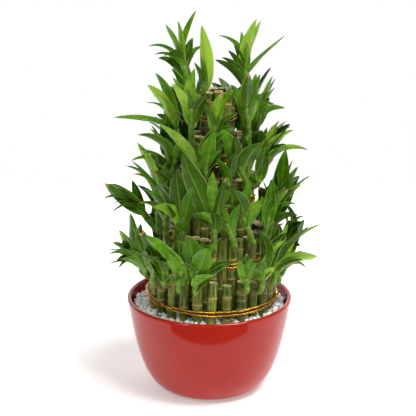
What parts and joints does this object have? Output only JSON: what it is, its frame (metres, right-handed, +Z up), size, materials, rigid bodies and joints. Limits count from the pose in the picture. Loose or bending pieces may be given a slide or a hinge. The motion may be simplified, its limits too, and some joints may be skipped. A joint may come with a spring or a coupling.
{
  "type": "lucky bamboo",
  "caption": "Tiered tower of cut lucky bamboo canes bound with gold wire, with leafy shoots, standing in stone chips in a round glazed bowl.",
  "frame": {"origin": "centre of the bowl's flat foot, on the surface that it stands on", "axes": "+Z up, -Y the front, +X the right as seen from the front"},
  "size_m": [0.246, 0.2216, 0.4364],
  "materials": {
    "glaze": "glossy red glaze on stoneware",
    "chips": "broken white marble chips, matt with a slight sparkle",
    "wire": "bright gold coloured tie wire",
    "cane": "smooth waxy green cane with pale node rings and cut tops",
    "foliage": "satin green leaf, water-filled"
  },
  "bodies": {
    "root": {"pot": "glaze", "gravel_bed": "chips", "tie_1": "wire", "tie_2": "wire", "tie_3": "wire", "tie_4": "wire", "tie_5": "wire", "tier_1_cane_01": "cane", "tier_1_cane_02": "cane", "tier_1_cane_03": "cane", "tier_1_cane_04": "cane", "tier_1_cane_05": "cane", "tier_1_cane_06": "cane", "tier_1_cane_07": "cane", "tier_1_cane_08": "cane", "tier_1_cane_09": "cane", "tier_1_cane_10": "cane", "tier_1_cane_11": "cane", "tier_1_cane_12": "cane", "tier_1_cane_13": "cane", "tier_1_cane_14": "cane", "tier_1_cane_15": "cane", "tier_1_cane_16": "cane", "tier_1_cane_17": "cane", "tier_1_cane_18": "cane", "tier_1_cane_19": "cane", "tier_1_cane_20": "cane", "tier_1_cane_21": "cane", "tier_1_cane_22": "cane", "tier_1_cane_23": "cane", "tier_1_cane_24": "cane", "tier_1_cane_25": "cane", "tier_1_cane_26": "cane", "tier_2_canes": "cane", "tier_3_canes": "cane", "tier_4_canes": "cane", "tier_5_canes": "cane", "tier_1_shoot_1": "foliage", "tier_1_shoot_2": "foliage", "tier_1_shoot_3": "foliage", "tier_1_shoot_4": "foliage", "tier_1_shoot_5": "foliage", "tier_1_shoot_6": "foliage", "tier_2_shoot_1": "foliage", "tier_2_shoot_2": "foliage", "tier_2_shoot_3": "foliage", "tier_2_shoot_4": "foliage", "tier_2_shoot_5": "foliage", "tier_2_shoot_6": "foliage", "tier_2_shoot_7": "foliage", "tier_3_shoot_1": "foliage", "tier_3_shoot_2": "foliage", "tier_3_shoot_3": "foliage", "tier_3_shoot_4": "foliage", "tier_3_shoot_5": "foliage", "tier_4_shoot_1": "foliage", "tier_4_shoot_2": "foliage", "tier_4_shoot_3": "foliage", "tier_5_shoot_1": "foliage", "tier_5_shoot_2": "foliage"}
  },
  "joints": []
}
